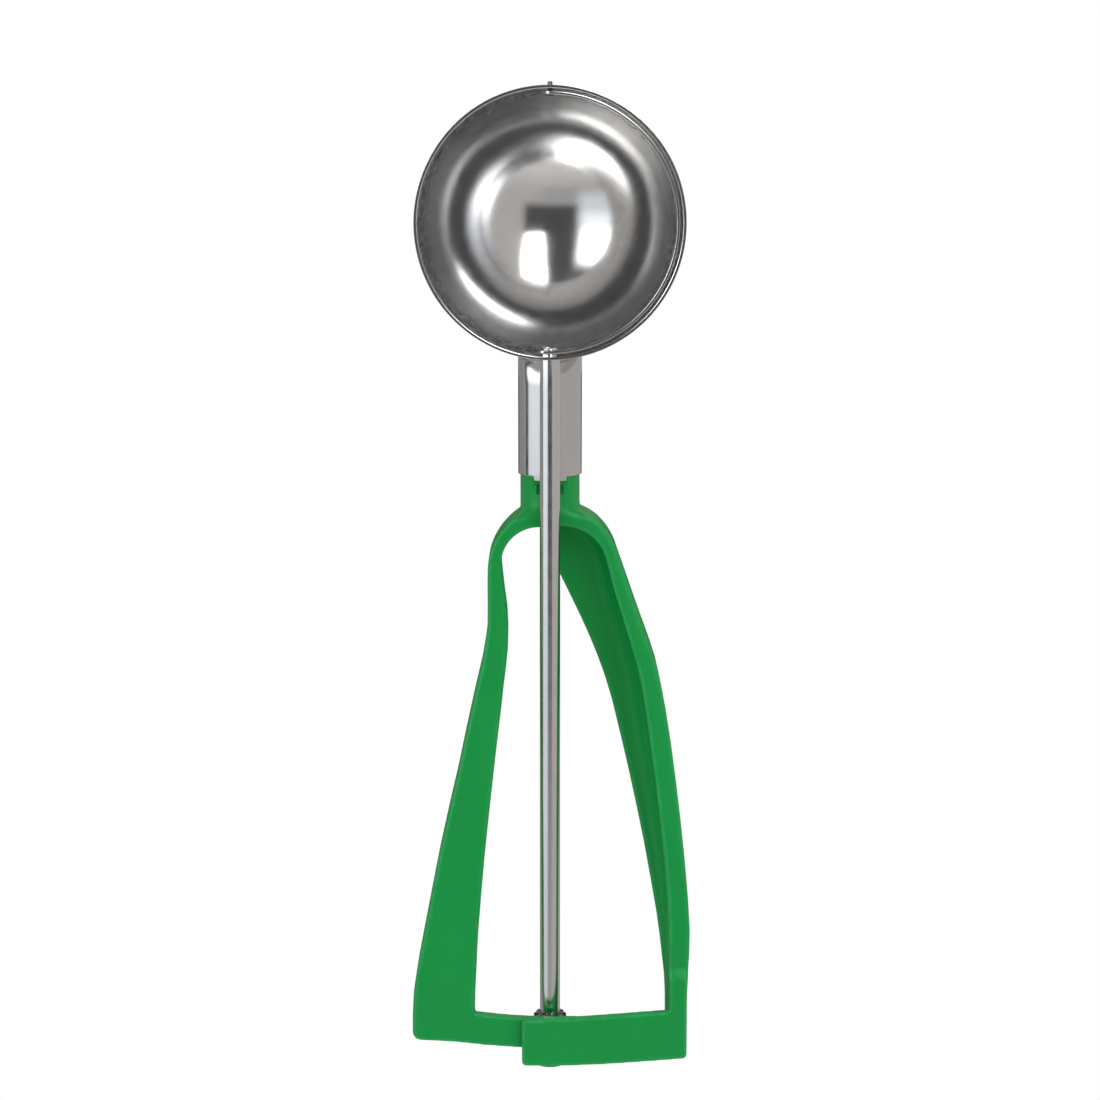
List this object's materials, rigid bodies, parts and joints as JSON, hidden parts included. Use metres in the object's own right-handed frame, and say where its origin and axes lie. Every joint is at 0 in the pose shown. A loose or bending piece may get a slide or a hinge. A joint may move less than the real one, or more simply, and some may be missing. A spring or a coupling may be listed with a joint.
{
  "type": "ice cream scoop",
  "caption": "Squeeze-handle ice cream scoop: steel bowl with a sweeping scraper hoop, turned by a rack and pinion at the foot of a sprung plastic lever.",
  "frame": {"origin": "on the turning shaft's axis, at the height of the lever's flexing shoulder", "axes": "+X right, towards the rigid palm arm; +Y away from the open mouth of the bowl; +Z along the shaft towards the bowl"},
  "size_m": [0.0691, 0.0429, 0.2441],
  "materials": {
    "bowl_steel": "spun and polished stainless steel",
    "tube_steel": "satin polished stainless steel tube",
    "rod_steel": "bright drawn stainless steel",
    "blade_steel": "polished stainless strip",
    "handle_nylon": "moulded green nylon with a fine satin texture",
    "pinion_plastic": "black acetal"
  },
  "bodies": {
    "handle": {"bowl": "bowl_steel", "ferrule": "tube_steel", "weld_bead": "tube_steel", "handle_frame": "handle_nylon"},
    "lever": {"thumb_lever": "handle_nylon"},
    "scraper": {"shaft": "rod_steel", "pinion": "pinion_plastic", "scraper_blade": "blade_steel", "pivot_pin": "rod_steel"}
  },
  "joints": [
    {"name": "scraper_turn", "type": "hinge", "parent": "handle", "child": "scraper", "pos_m": [0, 0, 0], "axis": [0, 0, 1], "range_deg": [0, 180]},
    {"name": "lever_squeeze", "type": "hinge", "parent": "handle", "child": "lever", "pos_m": [-0.0135, 0.01085, 0], "axis": [0, -1, 0], "range_deg": [0, 5.2], "stiffness_Nm_per_rad": 4}
  ],
  "couplings": [
    {"joint": "lever_squeeze", "follows": "scraper_turn", "ratio": 0.028571}
  ]
}
